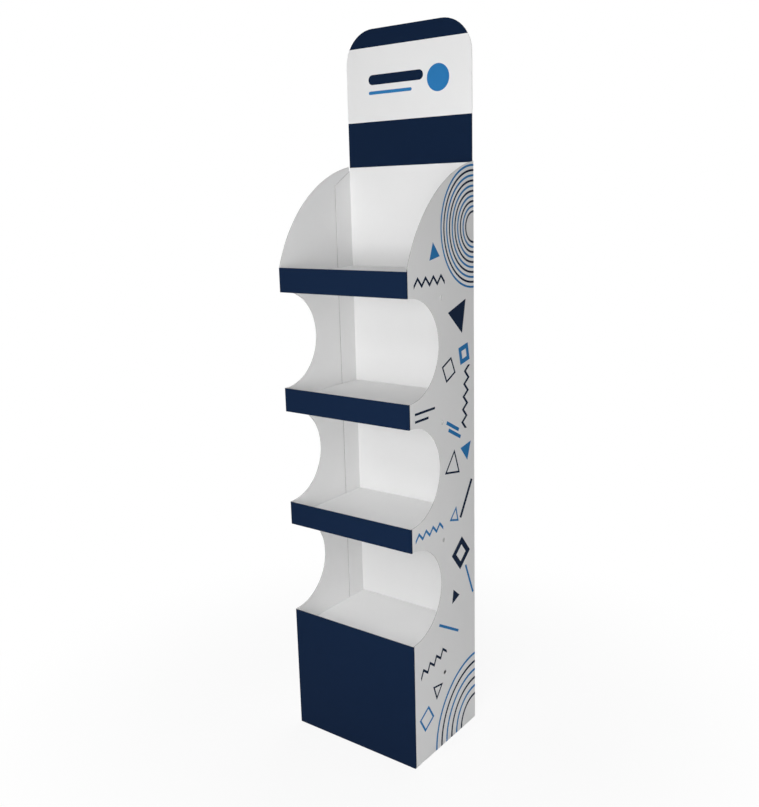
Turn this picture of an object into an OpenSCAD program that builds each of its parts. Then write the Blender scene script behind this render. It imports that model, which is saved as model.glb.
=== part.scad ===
// Floor display stand of folded and glued fluted board.
// A one-piece wrap makes both sides and the front, with windows cut through its
// two folds. A back panel carries the header and is glued inside the sides.
// Three shelves and a base deck are trays with their rims folded down.
// Millimetres, +Z up, front towards -Y, origin at the middle of the footprint.

/* [Board] */
// Thickness of the board
board_t = 1.5; // [1:0.1:3]
// Inside radius of a crease
crease_r = 0.5; // [0.3:0.1:2]
// Glue line between two faces that are stuck together
glue_gap = 0.2; // [0.1:0.05:0.5]
// Gap between two cut edges that pass one another
cut_gap = 1; // [0.5:0.1:3]

/* [Body] */
// Width over the side panels
body_w = 380; // [300:1:600]
// Depth from the front face to the back face
body_d = 289; // [260:1:450]
// Distance that the side panels stop short of the back face
side_setback = 2; // [1.8:0.1:6]
// Height of the side panels' back edge above the top lip
side_rise = 240; // [120:1:300]
// Radius of the curved top edge of the side panels
side_curve_r = 362; // [300:1:600]

/* [Front] */
// Height of the base front
base_h = 332; // [180:1:500]
// Height from one lip's top edge to the next
lip_pitch = 300; // [240:1:400]
// Height of each lip
lip_h = 60; // [55:1:100]
// Depth of the side scallops, from the front face
scallop_d = 129; // [60:1:180]
// Straight run behind the front face before a scallop starts to curve
scallop_land = 9; // [3:1:30]

/* [Side holes] */
// Diameter of the round holes in the side panels
hole_d = 10.5; // [6:0.5:14]
// Distance of the holes from the front face
hole_setback = 139; // [100:1:200]
// Drop from a lip's top edge to the hole beside it
hole_drop = 70; // [68:1:90]
// Drop from the base front's top edge to the lowest hole
base_hole_drop = 130; // [115:1:160]

/* [Shelves] */
// Drop from the base front's top edge to the base deck
deck_drop = 52; // [40:1:58]
// How much higher in its lip each shelf sits than the one below
drop_step = 12; // [8:1:13]
// Height of the rim folded down around a shelf
shelf_rim = 18; // [8:1:20]
// Height of the rim folded down around the base deck
deck_rim = 50; // [20:1:55]
// Length cut away at each end of a rim, so that the corners fold freely
rim_relief = 3; // [1:0.5:10]

/* [Back panel] */
// Height of the header above the side panels
header_h = 330; // [150:1:450]
// Radius of the header's top corners
header_r = 84; // [10:1:140]
// Width of the glue flaps, from the back face to their front edge
flap_w = 64; // [30:1:90]
// Distance of the flaps' top corner below the side panels' back corner
flap_top_gap = 11; // [5:1:60]
// Fall of the flaps' sloping top edge towards the front
flap_slope = 36; // [0:1:80]

/* [Hidden] */
$fn = 96;
shelf_count = 3;
past = 1;

fold_r = crease_r + board_t;
front_y = -body_d / 2;
back_y = body_d / 2;
side_d = body_d - side_setback;
top_lip_z = lip_top(shelf_count);
side_h = top_lip_z + side_rise;
total_h = side_h + header_h;
window_h = lip_pitch - lip_h;

// Outer half width of what is glued between the side panels
inner_hw = body_w / 2 - board_t - glue_gap;
// Half width between creases, of the back panel and of the trays
flat_hw = inner_hw - fold_r;
flap_front_y = back_y - flap_w;
flap_top = side_h - flap_top_gap;
tray_front_y = front_y + board_t + glue_gap;
tray_back_y = back_y - board_t - glue_gap;

// A scallop's arc starts behind the land, is at most a half circle, and is deepest halfway up
scallop_start = max(scallop_land, scallop_d - window_h / 2);
scallop_rise = scallop_d - scallop_start;
scallop_r = (pow(scallop_rise, 2) + pow(window_h / 2, 2)) / (2 * scallop_rise);

// The top edge of a side panel is an arc from the fold at the top lip to the back corner
top_run = side_d - fold_r;
top_chord = norm([top_run, side_rise]);
top_reach = sqrt(pow(side_curve_r, 2) - pow(top_chord / 2, 2)) / top_chord;
top_centre = [
    fold_r + top_run / 2 + side_rise * top_reach,
    top_lip_z + side_rise / 2 - top_run * top_reach
];

// Level 0 is the base, levels 1 to 3 are the shelves from the bottom up
function lip_top(level) = base_h + level * lip_pitch;
function shelf_z(level) = lip_top(level) - deck_drop + level * drop_step;
function hole_z(level) = lip_top(level) - (level == 0 ? base_hole_drop : hole_drop);

// Lays a shape drawn as depth and height in the plane of the sides, with a thickness along X
module from_side(thickness) {
    rotate([90, 0, 90])
        linear_extrude(thickness, center = true)
            children();
}

// Section across a crease: the sheet ends at x = -fold_r and its rim hangs at x = 0
module crease_section() {
    translate([-fold_r, -fold_r])
        intersection() {
            difference() {
                circle(fold_r);
                circle(crease_r);
            }
            square(fold_r);
        }
}

module rim_section(rim_h) {
    crease_section();
    translate([-board_t, -rim_h])
        square([board_t, rim_h - fold_r]);
}

// Folded rim along Y, from y0 to y1, with its outer face at x = 0
module rim(rim_h, y0, y1) {
    translate([0, y1, 0])
        rotate([90, 0, 0])
            linear_extrude(y1 - y0)
                rim_section(rim_h);
}

// Plan of the wrap: two sides and the front, with rounded folds between them
module wrap_plan() {
    front_w = body_w - 2 * fold_r;
    translate([-front_w / 2, 0])
        square([front_w, board_t]);
    for (side = [0, 1])
        mirror([side, 0]) {
            translate([body_w / 2, 0])
                mirror([0, 1])
                    crease_section();
            translate([body_w / 2 - board_t, fold_r])
                square([board_t, side_d - fold_r]);
        }
}

// Cut through the front and both sides between two lips
module window_profile() {
    translate([-past, 0])
        square([scallop_start + past, window_h]);
    intersection() {
        translate([scallop_start, -past])
            square([scallop_d, window_h + 2 * past]);
        translate([scallop_d - scallop_r, window_h / 2])
            circle(scallop_r);
    }
}

// What is cut away above the curved top edge of a side panel
module top_cut() {
    difference() {
        translate([-past, top_lip_z])
            square([side_d + 2 * past, side_rise + 2 * past]);
        translate(top_centre)
            circle(side_curve_r);
    }
}

// Outline of a side panel, as depth from the front and height
module side_profile() {
    difference() {
        square([side_d, side_h + past]);
        top_cut();
        for (level = [0 : shelf_count - 1])
            translate([0, lip_top(level)])
                window_profile();
    }
}

module body_wrap() {
    color("whitesmoke")
        difference() {
            intersection() {
                translate([0, front_y, 0])
                    linear_extrude(side_h)
                        wrap_plan();
                translate([0, front_y, 0])
                    from_side(body_w)
                        side_profile();
            }
            for (level = [0 : shelf_count])
                translate([0, front_y + hole_setback, hole_z(level)])
                    rotate([0, 90, 0])
                        cylinder(h = body_w + 2 * past, d = hole_d, center = true);
        }
}

// Flat sheet of the back panel and header, seen from the front
module back_outline() {
    top_hw = flat_hw - header_r;
    translate([-flat_hw, 0])
        square([2 * flat_hw, total_h - header_r]);
    translate([-top_hw, 0])
        square([2 * top_hw, total_h]);
    for (side = [-1, 1])
        translate([side * top_hw, total_h - header_r])
            circle(header_r);
}

// Glue flap along the right edge of the back panel, with a sloping top
module glue_flap() {
    translate([inner_hw, back_y, 0])
        linear_extrude(flap_top)
            crease_section();
    translate([inner_hw - board_t / 2, 0, 0])
        from_side(board_t)
            polygon([
                [flap_front_y, 0],
                [back_y - fold_r, 0],
                [back_y - fold_r, flap_top],
                [flap_front_y, flap_top - flap_slope]
            ]);
}

module back_panel() {
    color("white") {
        translate([0, back_y, 0])
            rotate([90, 0, 0])
                linear_extrude(board_t)
                    back_outline();
        glue_flap();
        mirror([1, 0, 0])
            glue_flap();
    }
}

// Shelf tray with its top face at the given height. The side rims stop at the glue flaps.
module tray(z, rim_h) {
    front_edge = tray_front_y + fold_r;
    back_edge = tray_back_y - fold_r;
    rim_hw = flat_hw - rim_relief;
    translate([0, 0, z]) {
        translate([-flat_hw, front_edge, -board_t])
            cube([2 * flat_hw, back_edge - front_edge, board_t]);
        for (side = [0, 1])
            mirror([side, 0, 0])
                translate([inner_hw, 0, 0])
                    rim(rim_h, front_edge + rim_relief, flap_front_y - cut_gap);
        translate([0, tray_front_y, 0])
            rotate(-90)
                rim(rim_h, -rim_hw, rim_hw);
        translate([0, tray_back_y, 0])
            rotate(90)
                rim(rim_h, -rim_hw, rim_hw);
    }
}

module shelf_top() {
    color("gainsboro")
        tray(shelf_z(3), shelf_rim);
}

module shelf_middle() {
    color("gainsboro")
        tray(shelf_z(2), shelf_rim);
}

module shelf_lower() {
    color("gainsboro")
        tray(shelf_z(1), shelf_rim);
}

module base_deck() {
    color("lightgrey")
        tray(shelf_z(0), deck_rim);
}

body_wrap();
back_panel();
shelf_top();
shelf_middle();
shelf_lower();
base_deck();
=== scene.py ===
"""Looks of the cardboard display stand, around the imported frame. Metres, +Z up, front towards -Y."""
import math

import bpy
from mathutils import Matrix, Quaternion, Vector
from mathutils.bvhtree import BVHTree


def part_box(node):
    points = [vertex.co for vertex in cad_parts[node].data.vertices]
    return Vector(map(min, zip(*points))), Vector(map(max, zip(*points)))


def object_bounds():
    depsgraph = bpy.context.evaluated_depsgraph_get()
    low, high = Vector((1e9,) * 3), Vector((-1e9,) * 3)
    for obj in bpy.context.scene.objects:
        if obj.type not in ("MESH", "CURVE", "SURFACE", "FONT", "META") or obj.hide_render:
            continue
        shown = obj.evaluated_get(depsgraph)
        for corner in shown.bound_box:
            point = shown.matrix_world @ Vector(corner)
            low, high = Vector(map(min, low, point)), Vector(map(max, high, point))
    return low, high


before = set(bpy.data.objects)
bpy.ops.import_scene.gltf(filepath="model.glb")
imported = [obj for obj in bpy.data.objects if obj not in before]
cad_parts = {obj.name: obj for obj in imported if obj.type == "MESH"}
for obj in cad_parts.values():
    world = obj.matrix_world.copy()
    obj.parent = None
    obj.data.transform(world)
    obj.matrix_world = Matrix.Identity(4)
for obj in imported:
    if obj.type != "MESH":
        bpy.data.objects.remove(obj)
cad_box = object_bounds()

MM = 0.001

# Board: its thickness, the pitch of its flutes and the thickness of one paper in it
BOARD = 1.5 * MM
FLUTE_PITCH = 3.2 * MM
LINER = 0.22 * MM

# Paper: clouds and fibres to the metre, how far each shades the colour, how high fibres and
# ridges stand, the least and most roughness of its face and of its cut edge, and its gloss
CLOUDS = 9.0
FIBRES = 900.0
SHADE = 0.03
FIBRE_H = 0.02 * MM
RIDGE_H = 0.012 * MM
FACE_ROUGH = (0.57, 0.67)
EDGE_ROUGH = (0.85, 0.95)
GLOSS = 0.03

# Places taken from the frame
FRONT_Y = cad_box[0].y
BACK_Y = cad_box[1].y
HALF_W = cad_box[1].x
HEADER_TOP = cad_box[1].z
FLAP_HALF_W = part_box("back_panel")[1].x
SIDE_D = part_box("body_wrap")[1].y - FRONT_Y
SIDE_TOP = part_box("body_wrap")[1].z
TRAYS = ("shelf_top", "shelf_middle", "shelf_lower", "base_deck")

# Telling a face of the sheet from a cut edge: a ray starts this far inside the board,
# and comes out within this length where it started behind a face
START = 0.05 * MM
THROUGH = 1.25 * BOARD

# The navy of the front runs round the folds to this far behind the front face
NAVY_WRAP = 4.5 * MM

# Heights of the header's navy bands, and of the middle of the white between them.
# The upper band runs past the header's top edge, so that no white is left along it.
LOW_BAND = (SIDE_TOP - 2.5 * MM, SIDE_TOP + 108.5 * MM)
TOP_BAND = (HEADER_TOP - 42.5 * MM, HEADER_TOP + MM)
SIGN_Z = (LOW_BAND[1] + TOP_BAND[0]) / 2

# Colours, linear
WHITE = (0.84, 0.84, 0.84)
NAVY = (0.0050, 0.0150, 0.0425)
BLUE = (0.028, 0.190, 0.460)
PAPER = (0.72, 0.71, 0.69)
PAPER_FIBRE = (0.61, 0.60, 0.59)
# Painted shade: dark grey where a cut edge shows the hollow flute channels, which are only shade
PAINTED_CHANNEL_SHADE = (0.22, 0.21, 0.20)
FLOOR = (0.85, 0.85, 0.85)
LIGHT_WHITE = (1.0, 1.0, 1.0)

# Camera solved on the photo's straight edges, in a frame of 759 by 807 pixels,
# with its distance to the front measured from the front face
IMAGE_LONG = 807
FOCAL_PX = 906.5
SENSOR = 36.0
CAMERA_PLACE = Vector((1.34275, -1.63761 + FRONT_Y, 1.39526))
CAMERA_AZIMUTH = math.radians(37.03)
CAMERA_ELEVATION = math.radians(12.87)
CAMERA_ROLL = math.radians(1.53)

# Floor: its radius and corners, the gap under the stand, the white in it near the stand,
# and the distances between which it runs out to white
FLOOR_R = 12.0
FLOOR_CORNERS = 64
FLOOR_GAP = 0.5 * MM
FLOOR_WHITE = 0.88
SHADOW_R = (0.35, 1.3)

# Lamps: place, what they look at, width and height, beam in degrees, power in watts.
# An open lamp has no limit to its beam.
STAND_MIDDLE = (0, 0, HEADER_TOP / 2)
DECK_MIDDLE = (0, 0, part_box("base_deck")[1].z)
OPEN = 180
LAMPS = {
    "front": ((0.2, -1.7, 1.25), STAND_MIDDLE, (0.8, 0.6), OPEN, 13),
    "corner": ((0.9, -1.5, 0.95), STAND_MIDDLE, (0.8, 0.6), OPEN, 7.5),
    "high": ((1.0, -1.7, 2.3), STAND_MIDDLE, (0.8, 0.8), OPEN, 8.5),
    "right": ((2.2, -0.9, 0.9), STAND_MIDDLE, (1.0, 1.6), OPEN, 3.2),
    "left": ((-2.6, -0.3, 1.3), STAND_MIDDLE, (1.2, 2.0), OPEN, 12),
    "back": ((-0.6, 3.0, 1.6), STAND_MIDDLE, (2.4, 2.0), OPEN, 44),
    "deck": ((0.45, -1.35, 1.85), DECK_MIDDLE, (0.3, 0.3), 22, 0.1),
}
AMBIENT = 0.24


class Nodes:
    """Short calls for building one material. A value is a number, a colour or an output socket."""

    def __init__(self, name):
        self.material = bpy.data.materials.new(name)
        self.material.use_nodes = True
        self.tree = self.material.node_tree
        self.shader = self.tree.nodes["Principled BSDF"]
        self.place = self.add("TexCoord").outputs["Object"]
        split = self.add("SeparateXYZ")
        self.put(self.place, split.inputs[0])
        self.x, self.y, self.z = split.outputs

    def add(self, kind):
        """A new node."""
        return self.tree.nodes.new("ShaderNode" + kind)

    def put(self, value, socket):
        """Links an output to a socket, or sets the socket's own number or colour."""
        if isinstance(value, bpy.types.NodeSocket):
            self.tree.links.new(value, socket)
        elif isinstance(value, tuple) and socket.type == "RGBA":
            socket.default_value = (*value, 1.0)
        else:
            socket.default_value = value

    def math(self, operation, *values):
        node = self.add("Math")
        node.operation = operation
        for value, socket in zip(values, node.inputs):
            self.put(value, socket)
        return node.outputs[0]

    def mix(self, share, a, b):
        """Colour a where share is 0, colour b where it is 1."""
        node = self.add("Mix")
        node.data_type = "RGBA"
        # The node has sockets for each kind of data. Inputs 6 and 7 and output 2 are its colours.
        for value, socket in zip((share, a, b), (node.inputs[0], node.inputs[6], node.inputs[7])):
            self.put(value, socket)
        return node.outputs[2]

    def blend(self, share, low, high):
        """Value low where share is 0, value high where it is 1."""
        return self.math("MULTIPLY_ADD", share, self.math("SUBTRACT", high, low), low)

    def noise(self, scale):
        node = self.add("TexNoise")
        self.put(self.place, node.inputs["Vector"])
        self.put(scale, node.inputs["Scale"])
        return node.outputs["Fac"]

    def bump(self, height, distance, before=None):
        """Normal bent by a height, on top of an earlier bump where there is one."""
        node = self.add("Bump")
        self.put(height, node.inputs["Height"])
        self.put(distance, node.inputs["Distance"])
        if before:
            self.put(before, node.inputs["Normal"])
        return node.outputs[0]

    def waves(self, along, pitch):
        """Sine from -1 to 1 along a coordinate."""
        return self.math("SINE", self.math("MULTIPLY", along, 2 * math.pi / pitch))

    def apart(self, a, b):
        """Distance between two values."""
        return self.math("ABSOLUTE", self.math("SUBTRACT", a, b))

    def greatest(self, values):
        """The greatest of several values. Of masks, one that is on where any of them is."""
        total = values[0]
        for value in values[1:]:
            total = self.math("MAXIMUM", total, value)
        return total

    def below(self, value, limit):
        """Mask that is on where a value is below a limit."""
        return self.math("LESS_THAN", value, limit)

    def between(self, value, low, high):
        """Mask that is on where a value lies between two limits."""
        return self.math("COMPARE", value, (low + high) / 2, (high - low) / 2)


class Flat:
    """Masks of shapes printed on a flat face, from its coordinates u and v. Sizes are millimetres."""

    def __init__(self, nodes, u, v):
        self.n = nodes
        self.u = nodes.math("DIVIDE", u, MM)
        self.v = nodes.math("DIVIDE", v, MM)

    def turned(self, centre, degrees):
        """Coordinates along and across an axis through a point."""
        n = self.n
        cos = math.cos(math.radians(degrees))
        sin = math.sin(math.radians(degrees))
        du = n.math("SUBTRACT", self.u, centre[0])
        dv = n.math("SUBTRACT", self.v, centre[1])
        along = n.math("ADD", n.math("MULTIPLY", du, cos), n.math("MULTIPLY", dv, sin))
        across = n.math("SUBTRACT", n.math("MULTIPLY", dv, cos), n.math("MULTIPLY", du, sin))
        return along, across

    def length(self, a, b):
        """Length of the vector with two given parts."""
        n = self.n
        return n.math("SQRT", n.math("MULTIPLY_ADD", a, a, n.math("MULTIPLY", b, b)))

    def disc(self, centre, r):
        return self.n.below(self.length(*self.turned(centre, 0)), r)

    def bar(self, centre, length, width, degrees=0):
        """Bar with square ends."""
        n = self.n
        along, across = self.turned(centre, degrees)
        in_length = n.between(along, -length / 2, length / 2)
        return n.math("MULTIPLY", in_length, n.between(across, -width / 2, width / 2))

    def pill(self, centre, length, width):
        """Bar with round ends."""
        n = self.n
        along, across = self.turned(centre, 0)
        past_end = n.math("SUBTRACT", n.math("ABSOLUTE", along), (length - width) / 2)
        return n.below(self.length(n.math("MAXIMUM", past_end, 0.0), across), width / 2)

    def polygon(self, corners, centre, side, degrees, line=None):
        """Polygon of equal sides with its first corner at an angle, filled or as an outline."""
        n = self.n
        normals = [degrees + 180 * (2 * i + 1) / corners for i in range(corners)]
        reach = n.greatest([self.turned(centre, normal)[0] for normal in normals])
        inner_r = side / (2 * math.tan(math.pi / corners))
        if line:
            return n.between(reach, inner_r - line, inner_r)
        return n.below(reach, inner_r)

    def zigzag(self, centre, length, swing, pitch, line, degrees=0):
        """Zigzag line that swings to both sides of an axis."""
        n = self.n
        along, across = self.turned(centre, degrees)
        rise = 2 * swing / pitch
        wave = n.math("PINGPONG", n.math("ADD", along, length / 2), pitch / 2)
        middle = n.math("MULTIPLY_ADD", wave, rise, -swing / 2)
        on_line = n.below(n.apart(across, middle), line / 2 * math.hypot(1, rise))
        return n.math("MULTIPLY", on_line, n.between(along, -length / 2, length / 2))

    def rings(self, centre, inner, outer, pitch, line):
        """Rings about one centre."""
        n = self.n
        away = self.length(*self.turned(centre, 0))
        step = n.math("WRAP", n.math("SUBTRACT", away, inner), pitch, 0.0)
        return n.math("MULTIPLY", n.below(step, line), n.between(away, inner, outer))


def paper_finish(n, colour, across):
    """Matt coated board: a little cloud and fibre in the colour, and faint ridges over the flutes."""
    fibre = n.noise(FIBRES)
    cloud_light = n.blend(n.noise(CLOUDS), 1 - SHADE, 1.0)
    lightness = n.math("MULTIPLY", cloud_light, n.blend(fibre, 1 - SHADE / 2, 1 + SHADE / 2))
    tint = n.add("VectorMath")
    tint.operation = "SCALE"
    n.put(colour, tint.inputs[0])
    n.put(lightness, tint.inputs["Scale"])
    n.put(tint.outputs[0], n.shader.inputs["Base Color"])
    n.put(n.blend(fibre, *FACE_ROUGH), n.shader.inputs["Roughness"])
    ridges = n.bump(n.waves(across, FLUTE_PITCH), RIDGE_H)
    n.put(n.bump(fibre, FIBRE_H, before=ridges), n.shader.inputs["Normal"])
    n.put(GLOSS, n.shader.inputs["Specular IOR Level"])
    return n.material


def upright_finish(n, colour):
    """Board with upright flutes, whichever way it faces."""
    return paper_finish(n, colour, n.math("ADD", n.x, n.y))


def shelf_board():
    """White board with flutes from side to side."""
    n = Nodes("shelf_board")
    return paper_finish(n, WHITE, n.y)


def wrap_board():
    """Outside of the wrap: navy in front, navy and blue shapes on the white sides.

    A place on the sides is depth behind the front and height. The rings sit on the back edge,
    below the top of the side and at its foot.
    """
    n = Nodes("wrap_board")
    depth = n.math("SUBTRACT", n.y, FRONT_Y)
    flat = Flat(n, depth, n.z)
    crest = (SIDE_D / MM, 1318)
    corner = (SIDE_D / MM, 0)
    navy = [
        n.below(depth, NAVY_WRAP),
        flat.rings(crest, inner=34, outer=135, pitch=24, line=5),
        flat.zigzag((92, 1204), length=128, swing=18, pitch=32, line=6),
        flat.polygon(3, (216, 1112), side=84, degrees=48),
        flat.polygon(4, (170, 985), side=46, degrees=70, line=5),
        flat.zigzag((246, 905), length=160, swing=18, pitch=32, line=7, degrees=84),
        flat.bar((66, 904), length=84, width=6),
        flat.bar((52, 886), length=56, width=6),
        flat.polygon(3, (186, 742), side=70, degrees=80, line=5),
        flat.bar((246, 640), length=104, width=10, degrees=58),
        flat.polygon(4, (220, 500), side=62, degrees=84, line=15),
        flat.polygon(3, (190, 392), side=38, degrees=110),
        flat.zigzag((88, 252), length=120, swing=18, pitch=30, line=6, degrees=12),
        flat.polygon(3, (104, 168), side=46, degrees=20, line=5),
        flat.rings(corner, inner=67, outer=176, pitch=48, line=7),
    ]
    blue = [
        flat.rings(crest, inner=46, outer=147, pitch=24, line=5),
        flat.polygon(3, (112, 1266), side=44, degrees=100),
        flat.polygon(4, (240, 1014), side=44, degrees=57, line=12),
        flat.bar((186, 842), length=62, width=9, degrees=152),
        flat.bar((194, 822), length=62, width=9, degrees=152),
        flat.polygon(3, (248, 768), side=50, degrees=40),
        flat.zigzag((78, 602), length=120, swing=16, pitch=30, line=6),
        flat.polygon(3, (192, 608), side=44, degrees=75, line=5),
        flat.bar((260, 415), length=96, width=7, degrees=112),
        flat.bar((160, 316), length=104, width=7, degrees=150),
        flat.polygon(4, (54, 112), side=48, degrees=75, line=6),
        flat.rings(corner, inner=91, outer=200, pitch=48, line=7),
    ]
    colour = n.mix(n.greatest(navy), WHITE, NAVY)
    return upright_finish(n, n.mix(n.greatest(blue), colour, BLUE))


def header_board():
    """Front of the back panel: white, with two navy bands on the header and a plain sign between."""
    n = Nodes("header_board")
    flat = Flat(n, n.x, n.math("SUBTRACT", n.z, SIGN_Z))
    navy = [
        n.between(n.z, *LOW_BAND),
        n.between(n.z, *TOP_BAND),
        flat.pill((-34, 11), length=166, width=24),
    ]
    blue = [
        flat.disc((92, 0), r=32),
        flat.pill((-51, -20), length=132, width=8),
    ]
    colour = n.mix(n.greatest(navy), WHITE, NAVY)
    return upright_finish(n, n.mix(n.greatest(blue), colour, BLUE))


def fluted_edge(n, depth, along):
    """Cut edge: two liners with fluted paper between them, and painted shade in the hollow channels.

    depth runs through the board, and along runs across the flutes.
    """
    from_middle = n.math("SUBTRACT", depth, BOARD / 2)
    swing = BOARD / 2 - LINER
    flute = n.math("MULTIPLY", n.waves(along, FLUTE_PITCH), swing)
    on_flute = n.below(n.apart(from_middle, flute), LINER)
    on_liner = n.math("GREATER_THAN", n.math("ABSOLUTE", from_middle), swing)
    sheet = n.math("MAXIMUM", on_flute, on_liner)
    fibre = n.noise(FIBRES)
    # The paper of liners and flute keeps its own colour, and the hollow channels between them get
    # painted shade
    n.put(n.mix(sheet, PAINTED_CHANNEL_SHADE, n.mix(fibre, PAPER_FIBRE, PAPER)), n.shader.inputs["Base Color"])
    n.put(n.blend(fibre, *EDGE_ROUGH), n.shader.inputs["Roughness"])
    n.put(n.bump(sheet, LINER), n.shader.inputs["Normal"])
    n.put(GLOSS, n.shader.inputs["Specular IOR Level"])
    return n.material


def upright_edge(name, half_w, face_y):
    """Cut edge of an upright sheet that has a face at face_y and is folded round to sides at half_w."""
    n = Nodes(name)
    from_side = n.math("SUBTRACT", half_w, n.math("ABSOLUTE", n.x))
    from_face = n.apart(n.y, face_y)
    along = n.blend(n.below(from_side, from_face), n.x, n.y)
    return fluted_edge(n, n.math("MINIMUM", from_side, from_face), along)


def tray_edge(name, top_z):
    """Cut edge of a tray, whose flutes run from side to side."""
    n = Nodes(name)
    return fluted_edge(n, n.math("SUBTRACT", top_z, n.z), n.y)


def sheet_side(tree, polygon):
    """'edge' for a cut edge. For a face, 'outer' if it looks away from the stand's axis, or 'inner'."""
    through = tree.ray_cast(polygon.center - polygon.normal * START, -polygon.normal)[3]
    if through is None or through > THROUGH:
        return "edge"
    outward = polygon.normal.x * polygon.center.x + polygon.normal.y * polygon.center.y
    return "outer" if outward > 0 else "inner"


def dress(node, outer, inner, edge):
    """Gives a node's faces their materials."""
    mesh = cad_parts[node].data
    slots = {"outer": outer, "inner": inner, "edge": edge}
    mesh.materials.clear()
    for material in slots.values():
        mesh.materials.append(material)
    sides = list(slots)
    tree = BVHTree.FromPolygons([v.co for v in mesh.vertices], [p.vertices for p in mesh.polygons])
    for polygon in mesh.polygons:
        polygon.material_index = sides.index(sheet_side(tree, polygon))
        polygon.use_smooth = False


def dress_stand():
    """Gives each node its boards. The white board is inside the wrap and behind the back panel."""
    white = upright_finish(Nodes("white_board"), WHITE)
    dress("body_wrap", wrap_board(), white, upright_edge("wrap_edge", HALF_W, FRONT_Y))
    dress("back_panel", white, header_board(), upright_edge("back_edge", FLAP_HALF_W, BACK_Y))
    shelf = shelf_board()
    for node in TRAYS:
        dress(node, shelf, shelf, tray_edge(node + "_edge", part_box(node)[1].z))


def add_lamps():
    """Soft area lamps, each turned to what it looks at."""
    for name, (place, aim, size, beam, power) in LAMPS.items():
        lamp = bpy.data.lights.new(name, "AREA")
        lamp.shape = "RECTANGLE"
        lamp.size, lamp.size_y = size
        lamp.spread = math.radians(beam)
        lamp.energy = power
        thing = bpy.data.objects.new(name, lamp)
        thing.location = place
        thing.rotation_mode = "QUATERNION"
        thing.rotation_quaternion = (Vector(aim) - Vector(place)).to_track_quat("-Z", "Y")
        bpy.context.scene.collection.objects.link(thing)


def seen(tree):
    """1 for a ray from the camera, off a gloss or through glass, 0 for the rest."""
    path = tree.nodes.new("ShaderNodeLightPath")
    share = path.outputs["Is Camera Ray"]
    for kind in ("Is Glossy Ray", "Is Transmission Ray"):
        either = tree.nodes.new("ShaderNodeMath")
        either.operation = "MAXIMUM"
        tree.links.new(share, either.inputs[0])
        tree.links.new(path.outputs[kind], either.inputs[1])
        share = either.outputs[0]
    return share


def add_world():
    """Soft light from all round, seen as plain white."""
    world = bpy.data.worlds.new("studio")
    bpy.context.scene.world = world
    world.use_nodes = True
    tree = world.node_tree
    light = tree.nodes["Background"]
    light.inputs["Color"].default_value = (*LIGHT_WHITE, 1.0)
    light.inputs["Strength"].default_value = AMBIENT
    white = tree.nodes.new("ShaderNodeBackground")
    white.inputs["Color"].default_value = (*LIGHT_WHITE, 1.0)
    mix = tree.nodes.new("ShaderNodeMixShader")
    for value, socket in zip((seen(tree), light.outputs[0], white.outputs[0]), mix.inputs):
        tree.links.new(value, socket)
    tree.links.new(mix.outputs[0], tree.nodes["World Output"].inputs["Surface"])


def floor_material():
    """Pale floor that keeps the shadow near the stand and runs out to white."""
    n = Nodes("pale_floor")
    n.put(FLOOR, n.shader.inputs["Base Color"])
    n.put(0.0, n.shader.inputs["Specular IOR Level"])
    away = n.add("VectorMath")
    away.operation = "LENGTH"
    n.put(n.place, away.inputs[0])
    fade = n.add("MapRange")
    fade.interpolation_type = "SMOOTHSTEP"
    for value, socket in zip((away.outputs["Value"], *SHADOW_R, FLOOR_WHITE, 1.0), fade.inputs):
        n.put(value, socket)
    white = n.add("Emission")
    n.put(LIGHT_WHITE, white.inputs["Color"])
    mix = n.add("MixShader")
    share = n.math("MULTIPLY", seen(n.tree), fade.outputs[0])
    for value, socket in zip((share, n.shader.outputs[0], white.outputs[0]), mix.inputs):
        n.put(value, socket)
    n.put(mix.outputs[0], n.tree.nodes["Material Output"].inputs["Surface"])
    return n.material


def add_floor():
    """Round floor just under the stand."""
    bpy.ops.mesh.primitive_circle_add(vertices=FLOOR_CORNERS, radius=FLOOR_R, fill_type="NGON")
    floor = bpy.context.object
    floor.location.z = -FLOOR_GAP
    floor.name = "floor"
    floor.data.materials.append(floor_material())


def add_camera():
    """Camera at the photo's viewing angle."""
    data = bpy.data.cameras.new("camera")
    data.sensor_width = SENSOR
    data.lens = FOCAL_PX / IMAGE_LONG * SENSOR
    camera = bpy.data.objects.new("camera", data)
    bpy.context.scene.collection.objects.link(camera)
    level = math.cos(CAMERA_ELEVATION)
    right_to_left = -math.sin(CAMERA_AZIMUTH) * level
    front_to_back = math.cos(CAMERA_AZIMUTH) * level
    ahead = Vector((right_to_left, front_to_back, -math.sin(CAMERA_ELEVATION)))
    camera.location = CAMERA_PLACE
    camera.rotation_mode = "QUATERNION"
    camera.rotation_quaternion = Quaternion(ahead, CAMERA_ROLL) @ ahead.to_track_quat("-Z", "Y")
    bpy.context.scene.camera = camera


dress_stand()
add_lamps()
add_world()
add_floor()
add_camera()
bpy.context.scene.view_settings.view_transform = "Standard"
